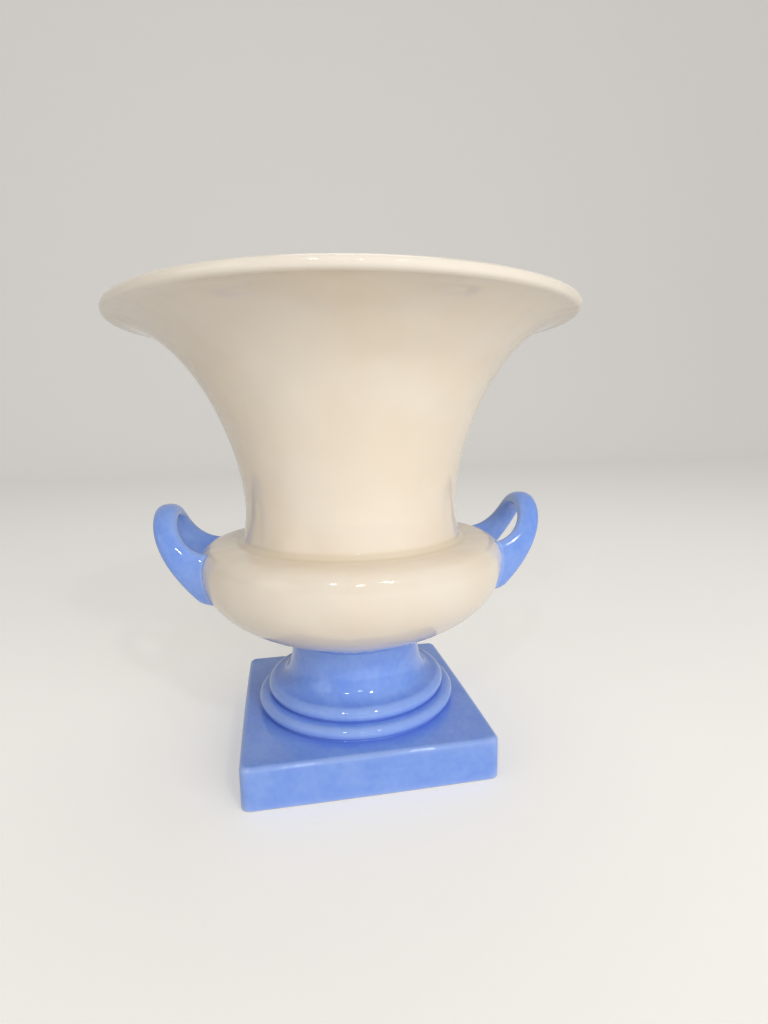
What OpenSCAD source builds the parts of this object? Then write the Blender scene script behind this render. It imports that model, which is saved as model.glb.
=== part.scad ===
// Urn vase: an ivory bell-shaped body with two blue loop handles, on a blue round foot with a square plinth.
// Every casting is separate, and thin layers of slip lie where the castings were stuck together.
// Millimetres, +Z up. The origin is the centre of the plinth's underside, the plinth's sides face X and Y, and
// the handles lie along X, turned a little from it as they are on the vase in the photograph.

/* [Plinth] */
// Side of the square plinth
plinth_side = 117.6; // [110:0.2:130]
// Height of the plinth
plinth_h = 20.4; // [18:0.2:26]
// Radius of the plinth's upright corners, seen from above
plinth_corner_r = 4; // [3.4:0.1:7]
// Radius that rounds the plinth's top edges
plinth_edge_r = 2.2; // [1:0.1:3.2]
// Radius that rounds the plinth's bottom edges
plinth_foot_r = 1.2; // [0.6:0.1:2]

/* [Round foot] */
// Height of the round foot, from the plinth's top to the slip under the bowl
socle_h = 36.1; // [30:0.1:42]
// Outer radius at the top of the round foot
socle_top_r = 32.6; // [28:0.1:36]
// Outer radius of the upper ring
upper_ring_r = 45.7; // [44:0.1:47]
// Outer radius of the lower ring
lower_ring_r = 50.8; // [49:0.1:53]
// Radius of the upper ring's rounded edge
upper_bead_r = 3.5; // [2.8:0.1:3.9]
// Radius of the lower ring's rounded edge
lower_bead_r = 3; // [2.2:0.1:3.4]
// Radius of the fillet between the lower ring and the plinth
socle_fillet_r = 1.4; // [0.8:0.1:2.4]
// How far the hollow of the foot's side runs straight down before it sweeps out
scotia_drop = 15; // [8:0.5:18]
// How far the hollow runs level before it reaches the upper ring
scotia_run = 7; // [3:0.5:9]

/* [Bowl] */
// Radius of the bowl's underside where the foot is stuck on
bowl_seat_r = 32.6; // [30:0.1:36]
// Angle of the bowl's underside at that edge, above level
bowl_seat_angle = 26; // [15:1:40]
// Largest outer radius of the bowl
bowl_r = 75.3; // [72:0.1:79]
// Height of the widest place above the seat
bowl_wide_h = 38.5; // [35:0.5:43]
// Height of the bowl's shoulder above the widest place, where the neck starts
shoulder_h = 11.3; // [9.5:0.1:14]
// Angle by which the shoulder falls outwards from the neck
shoulder_angle = 8.5; // [3:0.5:14]
// How far the underside keeps its angle before it turns up
bowl_low_pull = 13.5; // [9:0.5:18]
// How far the side runs upright below the widest place
bowl_side_pull = 26; // [18:0.5:28]
// How far the side runs upright above the widest place
bowl_top_pull = 14.4; // [9:0.2:15]
// How far the shoulder keeps its slope outside the neck
shoulder_pull = 10; // [6:0.5:12]

/* [Neck and bell] */
// Outer radius at the foot of the neck, in the crease above the shoulder
neck_foot_r = 55; // [54:0.1:57.5]
// Outer radius of the waist, the narrowest place
waist_r = 52.5; // [50:0.1:53.4]
// Height of the waist above the crease
waist_h = 16.3; // [12:0.1:20]
// How far the neck rises from the crease before it draws in to the waist
neck_pull = 2.5; // [1:0.1:4]
// Outer radius of the rim
rim_r = 108; // [100:0.5:116]
// Height of the rim above the waist
bell_h = 91.4; // [85:0.1:100]
// How far the bell runs upright above the waist
bell_rise = 32.8; // [26:0.2:40]
// How far the brim runs outwards to the rim
brim_run = 29.9; // [22:0.1:36]
// Angle of the brim's underside above level
brim_angle = 3; // [0:0.5:10]

/* [Walls] */
// Wall of the body
body_wall = 4.4; // [3.4:0.1:5]
// Thickness of the body's rounded lip
lip_t = 5; // [4:0.1:6]
// Thickness of the bowl's floor
floor_t = 4.6; // [4:0.1:7]
// Wall of the foot and the plinth
foot_wall = 5; // [4:0.1:6]
// Thickness of the slip layer in each stuck joint
slip_t = 0.7; // [0.5:0.1:1.2]
// How far the slip stands out round a handle's end
slip_bead = 0.8; // [0.4:0.1:1.2]

/* [Handles] */
// How far both handles are turned round the vase from the middles of the plinth's sides, seen from above
handle_turn = -2.8; // [-5:0.1:5]
// Distance of each handle's root from the vase's axis
root_reach = 68.7; // [67:0.1:71]
// Height of the root above the bowl's widest place, below it when negative
root_rise = -4.8; // [-7:0.1:-4]
// Half the distance between the two roots of a handle
root_half_gap = 22.4; // [20:0.1:25]
// Angle at which the handle leaves the root, above level
root_angle = 33; // [30:1:38]
// How far the handle keeps that angle
root_pull = 14.6; // [12:0.1:18]
// Distance of the loop's top from the vase's axis
loop_reach = 89.5; // [87:0.1:93]
// Height of the loop's top above the roots, along its centre line
loop_rise = 31.8; // [29:0.1:36]
// How far the loop runs nearly upright below its top
loop_pull = 12; // [10:0.1:15]
// Angle by which the loop leans outwards at its top
loop_lean = 0.5; // [0:0.5:8]
// Width of the handle's strap
strap_w = 10.8; // [9:0.1:13]
// Thickness of the handle's strap
strap_t = 7; // [6:0.1:9]
// How far the strap spreads below its centre line at a root
root_low = 9.5; // [8:0.1:11]
// How far the strap spreads above its centre line at a root
root_high = 18.6; // [15:0.1:20]
// Thickness of the strap at a root
root_t = 7; // [6:0.1:9]
// Radius that rounds the lower edge of a handle's end
root_round = 16; // [11:0.5:18]

/* [Hidden] */

ivory = "#f1e4cf";
blue = "#86a4e2";
$fn = 96;

// Heights of the joints and features above the shelf, from the ground up
socle_top_z = plinth_h + socle_h;
seat_z = socle_top_z + slip_t;
wide_z = seat_z + bowl_wide_h;
crease_z = wide_z + shoulder_h;
waist_z = crease_z + waist_h;
rim_z = waist_z + bell_h;
floor_z = seat_z + floor_t;
lip_r = lip_t / 2;

// Centres of the two rings' rounded edges
lower_bead = [lower_ring_r - lower_bead_r, plinth_h + socle_fillet_r + lower_bead_r];
upper_bead = [upper_ring_r - upper_bead_r, lower_bead[1] + lower_bead_r + upper_bead_r * 0.9];

// How finely the curves are cut
bowl_steps = 16;
bell_steps = 28;
cove_steps = 6;
round_steps = 10;
scotia_steps = 14;
loop_steps = 40;
strap_sides = 20;
overlap = 1;

function unit(v) = v / norm(v);

// A cubic curve between four control points, and its direction
function bezier(p, t) =
    pow(1 - t, 3) * p[0] + 3 * pow(1 - t, 2) * t * p[1] + 3 * (1 - t) * t * t * p[2] + pow(t, 3) * p[3];
function bezier_slope(p, t) =
    3 * pow(1 - t, 2) * (p[1] - p[0]) + 6 * (1 - t) * t * (p[2] - p[1]) + 3 * t * t * (p[3] - p[2]);

// Points of a profile curve, moved outwards by shift; the outside is on the right of the way it runs
function profile_curve(p, steps, shift = 0) = [
    for (i = [0:steps])
        let (d = unit(bezier_slope(p, i / steps)))
            bezier(p, i / steps) + shift * [d[1], -d[0]]
];

// Points of an arc, from one angle to another
function arc(centre, r, from, to, steps) = [
    for (i = [0:steps])
        let (a = from + (to - from) * i / steps)
            centre + r * [cos(a), sin(a)]
];

function reversed(points) = [for (i = [len(points) - 1:-1:0]) points[i]];

// The body's outline, from the seat up to the rim, as four curves
under_bowl = [
    [bowl_seat_r, seat_z],
    [bowl_seat_r, seat_z] + bowl_low_pull * [cos(bowl_seat_angle), sin(bowl_seat_angle)],
    [bowl_r, wide_z - bowl_side_pull],
    [bowl_r, wide_z]
];
over_bowl = [
    [bowl_r, wide_z],
    [bowl_r, wide_z + bowl_top_pull],
    [neck_foot_r, crease_z] + shoulder_pull * [cos(shoulder_angle), -sin(shoulder_angle)],
    [neck_foot_r, crease_z]
];
neck = [
    [neck_foot_r, crease_z],
    [neck_foot_r + 0.4 * (waist_r - neck_foot_r), crease_z + neck_pull],
    [waist_r, waist_z - waist_h / 3],
    [waist_r, waist_z]
];
bell = [
    [waist_r, waist_z],
    [waist_r, waist_z + bell_rise],
    [rim_r - lip_r, rim_z - lip_t] - brim_run * [cos(brim_angle), sin(brim_angle)],
    [rim_r - lip_r, rim_z - lip_t]
];

// The body's outline moved outwards by shift, up to the waist
function below_waist(shift) = concat(
    profile_curve(under_bowl, bowl_steps, shift),
    profile_curve(over_bowl, bowl_steps, shift),
    profile_curve(neck, cove_steps, shift)
);

// The bell's inside, where the wall thickens into the lip
function bell_inside() = [
    for (i = [0:bell_steps])
        let (
            t = i / bell_steps,
            d = unit(bezier_slope(bell, t))
        )
            bezier(bell, t) - (body_wall + (lip_t - body_wall) * pow(t, 6)) * [d[1], -d[0]]
];

module vase_body() {
    inside = [
        for (p = reversed(concat(below_waist(-body_wall), bell_inside())))
            if (p[1] > floor_z + 0.3) p
    ];
    last = inside[len(inside) - 1];
    color(ivory)
        rotate_extrude()
            polygon(concat(
                [[0, seat_z]],
                below_waist(0),
                profile_curve(bell, bell_steps),
                arc([rim_r - lip_r, rim_z - lip_r], lip_r, -90 + 180 / round_steps, 90, round_steps - 1),
                inside,
                [[last[0] - 0.8, floor_z], [0, floor_z]]
            ));
}

// The bowl alone, filled in and grown by shift: handles and their slip end on this surface
module bowl_core(shift) {
    rotate_extrude()
        polygon(concat(
            [[0, seat_z - shift]],
            profile_curve(under_bowl, bowl_steps, shift),
            profile_curve(over_bowl, bowl_steps, shift),
            [[neck_foot_r - overlap, crease_z], [0, crease_z]]
        ));
}

// A square with rounded corners, seen from above
module rounded_square(side, corner_r) {
    square([side, side - 2 * corner_r], center = true);
    square([side - 2 * corner_r, side], center = true);
    for (x = [-1, 1], y = [-1, 1])
        translate([x, y] * (side / 2 - corner_r))
            circle(corner_r);
}

// A rolled edge round the plinth at height z: straight rolls along the sides and quarter rings at the corners
module rolled_edge(z, edge_r) {
    for (turn = [0:90:270])
        rotate(turn)
            translate([0, 0, z]) {
                translate([plinth_side / 2 - edge_r, 0, 0])
                    rotate([90, 0, 0])
                        cylinder(r = edge_r, h = plinth_side - 2 * plinth_corner_r, center = true);
                translate([1, 1, 0] * (plinth_side / 2 - plinth_corner_r))
                    rotate_extrude(angle = 90)
                        translate([plinth_corner_r - edge_r, 0])
                            intersection() {
                                circle(edge_r);
                                translate([0, -edge_r])
                                    square([edge_r, 2 * edge_r]);
                            }
            }
}

module plinth_block() {
    translate([0, 0, plinth_foot_r])
        linear_extrude(plinth_h - plinth_foot_r - plinth_edge_r)
            rounded_square(plinth_side, plinth_corner_r);
    linear_extrude(plinth_h / 2)
        rounded_square(plinth_side - 2 * plinth_foot_r, plinth_corner_r - plinth_foot_r);
    translate([0, 0, plinth_h / 2])
        linear_extrude(plinth_h / 2)
            rounded_square(plinth_side - 2 * plinth_edge_r, plinth_corner_r - plinth_edge_r);
    rolled_edge(plinth_foot_r, plinth_foot_r);
    rolled_edge(plinth_h - plinth_edge_r, plinth_edge_r);
}

// The hollow side of the round foot, from its top down to the upper ring
scotia = [
    [socle_top_r, socle_top_z],
    [socle_top_r, socle_top_z - scotia_drop],
    [upper_bead[0] - scotia_run, upper_bead[1] + upper_bead_r],
    [upper_bead[0], upper_bead[1] + upper_bead_r]
];

// The round foot's outline, from its top down to the plinth
function socle_outline() = concat(
    profile_curve(scotia, scotia_steps),
    arc(upper_bead, upper_bead_r, 80, -70, round_steps),
    arc(lower_bead, lower_bead_r, 72, -90, round_steps),
    [[lower_bead[0], plinth_h - overlap]]
);

module socle() {
    rotate_extrude()
        polygon(concat([[0, plinth_h - overlap]], [[0, socle_top_z]], socle_outline()));
    // the fillet that runs out onto the plinth
    rotate_extrude()
        difference() {
            translate([lower_bead[0] - overlap, plinth_h - overlap])
                square([socle_fillet_r + overlap, socle_fillet_r + overlap]);
            translate([lower_bead[0] + socle_fillet_r, plinth_h + socle_fillet_r])
                circle(socle_fillet_r);
        }
}

// The hollow inside the foot, open below in the plinth and above in the round foot's mouth
module foot_hollow() {
    ceiling_z = plinth_h - foot_wall;
    wall_curve = [for (p = profile_curve(scotia, scotia_steps, foot_wall)) if (p[1] > plinth_h + 1) p];
    last = wall_curve[len(wall_curve) - 1];
    translate([0, 0, -overlap])
        linear_extrude(ceiling_z + overlap)
            rounded_square(plinth_side - 2 * foot_wall, plinth_corner_r);
    rotate_extrude()
        polygon(concat(
            [[0, socle_top_z + overlap], [socle_top_r - foot_wall, socle_top_z + overlap]],
            wall_curve,
            [[last[0], ceiling_z - overlap], [0, ceiling_z - overlap]]
        ));
}

module pedestal_foot() {
    color(blue)
        difference() {
            union() {
                plinth_block();
                socle();
            }
            foot_hollow();
        }
}

// The ring of slip between the foot's mouth and the bowl's underside
module foot_joint_slip() {
    color(blue)
        translate([0, 0, socle_top_z])
            difference() {
                cylinder(r = socle_top_r, h = slip_t);
                translate([0, 0, -overlap])
                    cylinder(r = socle_top_r - foot_wall, h = slip_t + 2 * overlap);
            }
}

// Side view of a handle's centre line, from a root to the top of the loop
root = [root_reach, wide_z + root_rise];
root_way = [cos(root_angle), sin(root_angle)];
loop_top = root + [loop_reach - root_reach, loop_rise];
handle_side = [
    root,
    root + root_pull * root_way,
    loop_top - loop_pull * [sin(loop_lean), cos(loop_lean)],
    loop_top
];

// Centre line at angle a round the loop, from 0 at the front root to 180 at the rear one, and its direction
function loop_point(a) =
    let (p = bezier(handle_side, sin(a)))
        [p[0], -root_half_gap * sign(cos(a)) * pow(abs(cos(a)), 0.95), p[1]];
function loop_way(a) = unit(loop_point(min(a + 0.5, 180)) - loop_point(max(a - 0.5, 0)));

// A section of the strap: its centre, the two directions it spreads in, and half its size along each
function strap_section(a, grow) =
    let (
        side_way = unit(bezier_slope(handle_side, sin(a))),
        across = [-side_way[1], 0, side_way[0]],
        near_root = 1 - sin(a),
        low = strap_w / 2 + (root_low - strap_w / 2) * pow(near_root, 3),
        high = strap_w / 2 + (root_high - strap_w / 2) * pow(near_root, 3.5)
    )
        [loop_point(a) + (high - low) / 2 * across, across, unit(cross(loop_way(a), across)),
         (high + low) / 2 + grow, (strap_t + (root_t - strap_t) * pow(near_root, 3)) / 2 + grow];

// Past a root the strap's lower edge turns round and runs into the bowl, which cuts the strap off
turn_steps = 5;
buried = 18;
root_normal = [sin(root_angle), -cos(root_angle)];
root_turn = arc(root + (root_low - root_round) * root_normal, root_round, root_angle - 90, -95, turn_steps);
low_tips = concat(root_turn, [root_turn[turn_steps] - buried * [cos(5), -sin(5)]]);
high_tip = root - root_high * root_normal;

// Section k past the root in front (end = -1) or behind (end = 1)
function end_section(k, end, grow) =
    let (
        low = low_tips[k],
        high = high_tip - 0.6 * k * root_way,
        centre = (low + high) / 2,
        way = unit(high - low)
    )
        [[centre[0], end * root_half_gap, centre[1]], [way[0], 0, way[1]], [0, end, 0],
         norm(high - low) / 2 + grow, root_t / 2 + grow];

function section_ring(s) = [
    for (i = [0:strap_sides - 1])
        let (b = 360 * i / strap_sides)
            s[0] + s[3] * cos(b) * s[1] + s[4] * sin(b) * s[2]
];

// The strap of the right-hand handle as one closed skin over its sections
module strap(grow) {
    sections = concat(
        [for (k = [turn_steps + 1:-1:1]) end_section(k, -1, grow)],
        [for (i = [0:loop_steps]) strap_section(180 * i / loop_steps, grow)],
        [for (k = [1:turn_steps + 1]) end_section(k, 1, grow)]
    );
    n = strap_sides;
    last = (len(sections) - 1) * n;
    polyhedron(
        points = [for (s = sections) each section_ring(s)],
        faces = concat(
            [[for (i = [0:n - 1]) i]],
            [for (k = [0:len(sections) - 2], i = [0:n - 1])
                let (j = (i + 1) % n)
                    each [[k * n + i, (k + 1) * n + i, (k + 1) * n + j], [k * n + i, (k + 1) * n + j, k * n + j]]],
            [[for (i = [n - 1:-1:0]) last + i]]
        )
    );
}

// A handle, cut off where it meets the slip on the bowl; side is 1 on the right and -1 on the left
module handle(side) {
    color(blue)
        rotate(handle_turn + (side > 0 ? 0 : 180))
            difference() {
                strap(0);
                bowl_core(slip_t);
            }
}

// The slip under one root: a thin curved pad between the bowl and the strap; end is -1 in front and 1 behind.
// The box keeps one root's pad and stops below the level shoulder, out of reach of the strap's buried tip.
module handle_slip(side, end) {
    color(blue)
        rotate(handle_turn + (side > 0 ? 0 : 180))
            intersection() {
                strap(slip_bead);
                difference() {
                    bowl_core(slip_t);
                    bowl_core(0);
                }
                translate([0, side * end > 0 ? 0 : -2 * root_half_gap, 0])
                    cube([bowl_r + overlap, 2 * root_half_gap, crease_z - 1]);
            }
}

module left_handle() handle(-1);
module right_handle() handle(1);
module left_handle_front_slip() handle_slip(-1, -1);
module left_handle_rear_slip() handle_slip(-1, 1);
module right_handle_front_slip() handle_slip(1, -1);
module right_handle_rear_slip() handle_slip(1, 1);

vase_body();
pedestal_foot();
left_handle();
right_handle();
foot_joint_slip();
left_handle_front_slip();
left_handle_rear_slip();
right_handle_front_slip();
right_handle_rear_slip();
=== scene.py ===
# %% [markdown]
# # An urn vase in two glazes
#
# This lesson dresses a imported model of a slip-cast urn vase: an ivory bell-shaped body, two blue loop
# handles, and a blue round foot on a square plinth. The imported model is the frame. It holds every piece
# at its real size and in its real place, and nothing in this script moves or resizes it. What is made
# here are the glazed surfaces that a person sees: smooth castings, soft joints where the clay was stuck
# together, and glaze that runs thin over the edges and gathers in the grooves.

# %% Load the frame
import math

import bmesh
import bpy
from mathutils import Matrix, Vector


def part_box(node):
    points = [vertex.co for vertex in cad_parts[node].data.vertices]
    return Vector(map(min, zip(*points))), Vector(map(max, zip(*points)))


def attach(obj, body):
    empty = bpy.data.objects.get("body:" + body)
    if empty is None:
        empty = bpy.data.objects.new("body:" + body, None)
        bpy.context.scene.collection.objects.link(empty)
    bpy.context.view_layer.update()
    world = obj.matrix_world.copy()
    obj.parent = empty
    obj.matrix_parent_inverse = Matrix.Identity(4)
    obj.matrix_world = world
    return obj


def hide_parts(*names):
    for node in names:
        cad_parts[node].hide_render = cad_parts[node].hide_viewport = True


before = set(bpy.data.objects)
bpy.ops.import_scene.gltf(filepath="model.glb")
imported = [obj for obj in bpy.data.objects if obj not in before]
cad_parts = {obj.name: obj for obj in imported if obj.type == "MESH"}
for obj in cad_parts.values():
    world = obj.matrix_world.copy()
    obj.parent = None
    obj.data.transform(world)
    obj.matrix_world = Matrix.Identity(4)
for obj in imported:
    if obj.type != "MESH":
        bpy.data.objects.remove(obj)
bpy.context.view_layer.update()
print("Pieces in the frame:", sorted(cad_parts))

# %% [markdown]
# ## Sizes
#
# Blender works in metres and a potter thinks in millimetres, so MM turns one into the other, and a HAIR
# is a distance too small to matter. The main sizes come from the frame's boxes: the rim, the seat of the
# bowl, the top of the foot and the plinth. Only what a box can't tell, such as how strongly a curve
# bends, is written here, at the place where it is first used.

# %% Main sizes from the frame
MM = 0.001
HAIR = 0.1 * MM
body_low, body_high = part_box("vase_body")
foot_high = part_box("pedestal_foot")[1]
slip_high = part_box("foot_joint_slip")[1]
rim_r = body_high.x
rim_z = body_high.z
seat_z = body_low.z
socle_top_z = foot_high.z
seat_r = slip_high.x
plinth_half = foot_high.x
print(f"Rim radius {rim_r / MM:.1f} mm at {rim_z / MM:.1f} mm, plinth {2 * plinth_half / MM:.1f} mm wide")

# %% [markdown]
# ## Camera
#
# The camera stands less than 30 cm from the vase's axis and 5 cm lower than the rim, with a wide lens.
# Its focal length, place and turn were fitted to straight edges and round rims of the vase. A wide lens
# close by makes the near side of the plinth large and lets the rim bend, so a longer lens from further
# off would not match.

# %% Place the camera
image_height_px = 1024
focal_px = 564.0
sensor_mm = 36
camera_place = Vector((-0.0352, -0.2829, 0.1647))
camera_turn = math.radians(-10.4)
camera_pitch = math.radians(-9.23)
camera_roll = math.radians(-1.02)

forward = Vector((
    -math.sin(camera_turn) * math.cos(camera_pitch),
    math.cos(camera_turn) * math.cos(camera_pitch),
    math.sin(camera_pitch),
))
level_right = Vector((math.cos(camera_turn), math.sin(camera_turn), 0))
level_up = level_right.cross(forward)
right = math.cos(camera_roll) * level_right + math.sin(camera_roll) * level_up
up = math.cos(camera_roll) * level_up - math.sin(camera_roll) * level_right

camera_data = bpy.data.cameras.new("camera")
camera_data.sensor_width = sensor_mm
camera_data.lens = focal_px / image_height_px * sensor_mm
camera_data.clip_start = 0.01
camera = bpy.data.objects.new("camera", camera_data)
bpy.context.scene.collection.objects.link(camera)
turn = Matrix((right, up, -forward)).transposed()
camera.matrix_world = Matrix.Translation(camera_place) @ turn.to_4x4()
bpy.context.scene.camera = camera
axis_distance = math.hypot(camera_place.x, camera_place.y)
print(f"Lens {camera_data.lens:.2f} mm, {axis_distance:.3f} m from the axis")

# %% [markdown]
# ## Curves
#
# A potter's profile is a few smooth sweeps. A cubic curve between two points, with a direction and a pull
# at each end, draws such a sweep, and the same function also draws every small soft corner where glaze
# has filled an edge. The points are (radius, height) pairs, and the outside of the pot is on the right of
# the way the profile runs.

# %% Curve helpers


def sweep(start, start_way, start_pull, end, end_way, end_pull, steps):
    """Points of a smooth sweep from start to end, leaving along start_way and arriving along end_way."""
    leave = start + start_way.normalized() * start_pull
    arrive = end - end_way.normalized() * end_pull
    points = []
    for i in range(steps + 1):
        t = i / steps
        u = 1 - t
        points.append(u ** 3 * start + 3 * u * u * t * leave + 3 * u * t * t * arrive + t ** 3 * end)
    return points


def heading(degrees):
    """A direction in the profile plane, by its angle above level."""
    return Vector((math.cos(math.radians(degrees)), math.sin(math.radians(degrees))))


def round_edge(centre, radius, first, last, steps):
    """Points of an arc between two angles in degrees."""
    return [centre + radius * heading(first + (last - first) * i / steps) for i in range(steps + 1)]


def without_repeats(points, closest=0.05 * MM):
    """The same points, without those that lie on the one before."""
    kept = points[:1]
    for point in points[1:]:
        if (point - kept[-1]).length > closest:
            kept.append(point)
    return kept


def side_ways(points):
    """The outward direction at each point of a profile."""
    ways = []
    for i in range(len(points)):
        along = points[min(i + 1, len(points) - 1)] - points[max(i - 1, 0)]
        ways.append(Vector((along.y, -along.x)).normalized())
    return ways


# %% [markdown]
# ## The body's outline
#
# The bowl swells from the seat to its widest place and rolls over into a shoulder. A soft crease parts it
# from the neck, which draws in to the waist, and from there the bell opens to a nearly level brim with a
# rounded lip. The outline could be traced as many points, but four sweeps with real sizes stay smooth at
# any fineness and can be changed one size at a time.

# %% Sizes of the body
bowl_seat_angle = 26
bowl_low_pull = 13.5 * MM
bowl_side_pull = 26 * MM
bowl_r = 75.3 * MM
wide_z = seat_z + 38.5 * MM
bowl_top_pull = 14.4 * MM
crease_z = wide_z + 11.3 * MM
shoulder_angle = 8.5
shoulder_pull = 10 * MM
neck_foot_r = 55 * MM
neck_way = Vector((-1, 2.5))
neck_pull = 2.7 * MM
waist_r = 52.5 * MM
waist_z = crease_z + 16.3 * MM
waist_pull = 5.4 * MM
bell_rise = 32.8 * MM
brim_run = 29.9 * MM
brim_angle = 3
body_wall = 4.4 * MM
lip_t = 5 * MM
lip_r = lip_t / 2
lip_growth = 6
floor_z = seat_z + 4.6 * MM

LEVEL = heading(0)
UPRIGHT = heading(90)
seat_edge = Vector((seat_r, seat_z))
widest = Vector((bowl_r, wide_z))
crease = Vector((neck_foot_r, crease_z))
waist = Vector((waist_r, waist_z))
brim = Vector((rim_r - lip_r, rim_z - lip_t))

under_bowl = sweep(seat_edge, heading(bowl_seat_angle), bowl_low_pull, widest, UPRIGHT, bowl_side_pull, 44)
over_bowl = sweep(widest, UPRIGHT, bowl_top_pull, crease, heading(180 - shoulder_angle), shoulder_pull, 38)
neck = sweep(crease, neck_way, neck_pull, waist, UPRIGHT, waist_pull, 22)
bell = sweep(waist, UPRIGHT, bell_rise, brim, heading(brim_angle), brim_run, 60)
print("Body outline:", len(under_bowl) + len(over_bowl) + len(neck) + len(bell), "points")

# %% [markdown]
# The crease isn't a sharp line on the real vase: the glaze fills it. So the last millimetres of the
# shoulder and the first of the neck give way to a small cove. The inside follows the outside at the
# thickness of the wall, and the wall thickens into the lip, which is a half round. The floor meets the
# wall in a soft corner.

# %% Join the outline
cove_shoulder = 4
cove_neck = 5
cove_pull = 1.1 * MM
cove_start_way = over_bowl[-cove_shoulder] - over_bowl[-cove_shoulder - 1]
cove_end_way = neck[cove_neck + 1] - neck[cove_neck]
cove = sweep(over_bowl[-cove_shoulder], cove_start_way, cove_pull,
             neck[cove_neck], cove_end_way, cove_pull, 8)
bowl_outline = without_repeats(under_bowl + over_bowl[:-cove_shoulder])
outside = without_repeats(bowl_outline + cove + neck[cove_neck:] + bell)
lip = round_edge(Vector((rim_r - lip_r, rim_z - lip_r)), lip_r, -90, 90, 14)

inside = []
for i, (point, way) in enumerate(zip(outside, side_ways(outside))):
    to_lip = max(0.0, (point.y - waist_z) / (brim.y - waist_z))
    inside.append(point - way * (body_wall + (lip_t - body_wall) * to_lip ** lip_growth))
floor_curve_r = 5 * MM
wall_end_pull, floor_end_pull = 1.6 * MM, 2.4 * MM
inner_wall = [p for p in reversed(inside) if p.y > floor_z + 0.5 * floor_curve_r][::2]
floor_edge = Vector((inner_wall[-1].x - floor_curve_r, floor_z))
floor_corner = sweep(inner_wall[-1], inner_wall[-1] - inner_wall[-2], wall_end_pull,
                     floor_edge, -LEVEL, floor_end_pull, 6)
body_profile = without_repeats(
    [Vector((0, seat_z)), Vector((seat_r / 2, seat_z)), Vector((seat_r - 2 * MM, seat_z))]
    + outside + lip + inner_wall + floor_corner + [Vector((seat_r / 3, floor_z)), Vector((0, floor_z))]
)
print("Whole body profile:", len(body_profile), "points")

# %% [markdown]
# ## Spinning a pot
#
# A round pot is its profile turned about the axis, and bmesh's spin operator does just that. A full spin
# merges its last copy with its first, so the wall has no seam. Points on the axis are merged into one
# pole. After that the faces are turned to point outwards, because spin can leave them inside out.

# %% Spin helper
round_steps = 192
merge_reach = 0.001 * MM


def spin_pot(bm, profile, closed=False):
    """Turns a profile about the upright axis into a closed skin."""
    verts = [bm.verts.new((p.x, 0, p.y)) for p in profile]
    pairs = list(zip(verts, verts[1:]))
    if closed:
        pairs.append((verts[-1], verts[0]))
    edges = [bm.edges.new(pair) for pair in pairs]
    bmesh.ops.spin(bm, geom=verts + edges, cent=(0, 0, 0), axis=(0, 0, 1), angle=2 * math.pi,
                   steps=round_steps, use_merge=True)
    bmesh.ops.remove_doubles(bm, verts=bm.verts, dist=merge_reach)
    bmesh.ops.recalc_face_normals(bm, faces=bm.faces)


def keep_as_object(bm, name):
    """Makes an object of a finished bmesh, with smooth faces and its place in its mesh."""
    mesh = bpy.data.meshes.new(name)
    for face in bm.faces:
        face.smooth = True
    bm.to_mesh(mesh)
    piece = bpy.data.objects.new(name, mesh)
    bpy.context.scene.collection.objects.link(piece)
    print(f"{name}: {len(bm.verts)} points, {len(bm.faces)} faces")
    bm.free()
    return piece


# %% [markdown]
# ## How thick the glaze lies
#
# Melted glaze runs off an edge and gathers in a hollow, and that is what makes a glazed pot look real. So
# every point gets a number, glaze_depth: above zero in a hollow, below zero on an edge. It is the bend of
# the surface there, averaged with the neighbours, because glaze is a thick liquid and changes slowly. A
# painted mask or the renderer's pointiness could do the same, but a number on the mesh is exact and goes
# wherever the mesh goes.

# %% Measure hollows and edges
full_bend = 1 / (3 * MM)
shortest_edge = 0.25 * MM


def measure_glaze(bm, passes=5, strength=1.0):
    """Writes glaze_depth to every point: 1 in a tight hollow, 0 on a flat, -1 on a tight edge."""
    bm.normal_update()
    bends = []
    bm.verts.index_update()
    for vert in bm.verts:
        bend = 0.0
        for edge in vert.link_edges:
            away = edge.other_vert(vert).co - vert.co
            bend = bend + 2 * away.dot(vert.normal) / max(away.length_squared, shortest_edge ** 2)
        bends.append(bend / max(len(vert.link_edges), 1))
    for _ in range(passes):
        bends = [
            (bends[vert.index] + sum(bends[e.other_vert(vert).index] for e in vert.link_edges))
            / (1 + len(vert.link_edges))
            for vert in bm.verts
        ]
    layer = bm.verts.layers.float.new("glaze_depth")
    for vert in bm.verts:
        vert[layer] = max(-1.0, min(1.0, strength * bends[vert.index] / full_bend))


# %% [markdown]
# ## The ivory body
#
# A wide brim never comes out of the kiln quite true: it sinks and draws in by a few tenths of a
# millimetre, more at some places round the rim than at others. That is far too little to see as a shape,
# but it makes reflections on the bell waver as they do on a real casting. The move is only inwards and
# down, so the body keeps to its frame.

# %% Cast the body
brim_sag, sag_waves, sag_phase = 0.5 * MM, 3, 0.4
brim_draw, draw_waves, draw_phase = 0.5 * MM, 2, 0.9


def fire_brim(bm):
    """Lets the bell sag and draw in a little, most at the rim."""
    for vert in bm.verts:
        rise = max(0.0, (vert.co.z - waist_z) / (rim_z - waist_z)) ** 2
        turned = math.atan2(vert.co.y, vert.co.x)
        radius = math.hypot(vert.co.x, vert.co.y)
        if rise > 0 and radius > 0:
            drawn = 1 - brim_draw / rim_r * rise * (0.5 - 0.5 * math.cos(draw_waves * turned + draw_phase))
            vert.co.x *= drawn
            vert.co.y *= drawn
            vert.co.z -= brim_sag * rise * (0.5 - 0.5 * math.cos(sag_waves * turned + sag_phase))


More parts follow.
